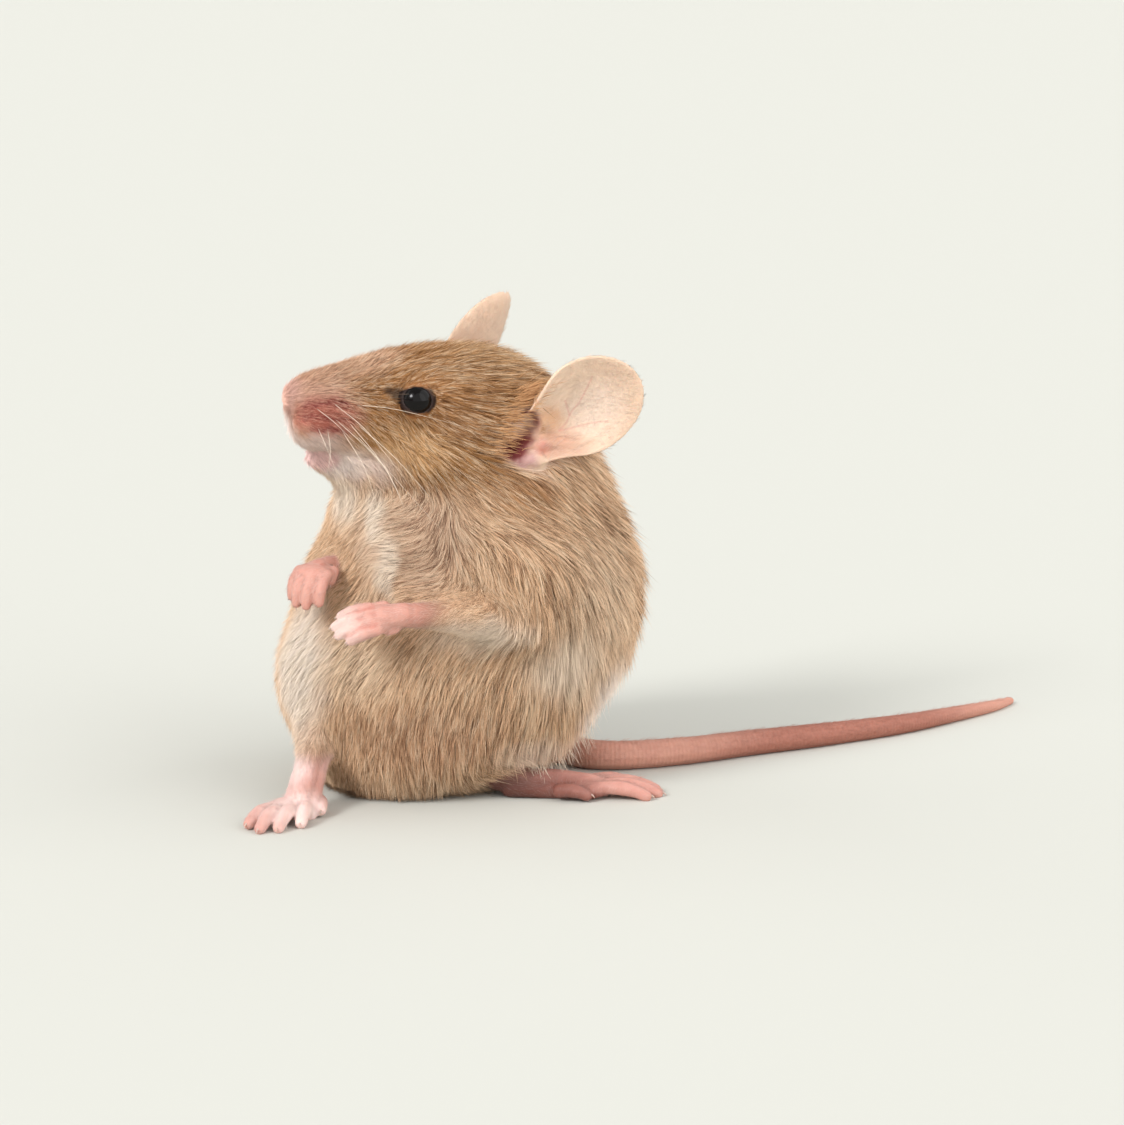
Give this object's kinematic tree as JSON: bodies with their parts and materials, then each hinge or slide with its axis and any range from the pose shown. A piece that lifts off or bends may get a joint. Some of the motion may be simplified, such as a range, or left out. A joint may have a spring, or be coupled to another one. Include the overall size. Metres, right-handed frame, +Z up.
{
  "type": "house mouse, sitting up",
  "caption": "Life-size still model of a brown house mouse sitting up on its haunches, head turned in profile, forepaws held before the chest and tail laid along the floor.",
  "frame": {"origin": "on the floor, under the centre of the model's bounding box", "axes": "+Z up, -Y to the front, where the hips face, +X to the side where the tail lies; the head looks along -X"},
  "size_m": [0.0798, 0.0532, 0.0486],
  "materials": {
    "coat": "short soft fur, golden brown ticked with dark hairs, paler below",
    "paw_skin": "soft pink skin with very short hairs",
    "ear_skin": "thin peach skin, light comes through it",
    "tail_skin": "pinkish brown ringed skin",
    "eye": "wet glossy black"
  },
  "bodies": {
    "root": {"head": "coat", "neck": "coat", "trunk": "coat", "foreleg_left": "coat", "foreleg_right": "coat", "hind_leg_left": "coat", "hind_leg_right": "coat", "forepaw_left": "paw_skin", "forepaw_right": "paw_skin", "hind_foot_left": "paw_skin", "hind_foot_right": "paw_skin", "tail_1": "tail_skin", "tail_2": "tail_skin", "tail_3": "tail_skin", "tail_4": "tail_skin", "ear_left": "ear_skin", "ear_right": "ear_skin", "eye_left": "eye", "eye_right": "eye"}
  },
  "joints": []
}
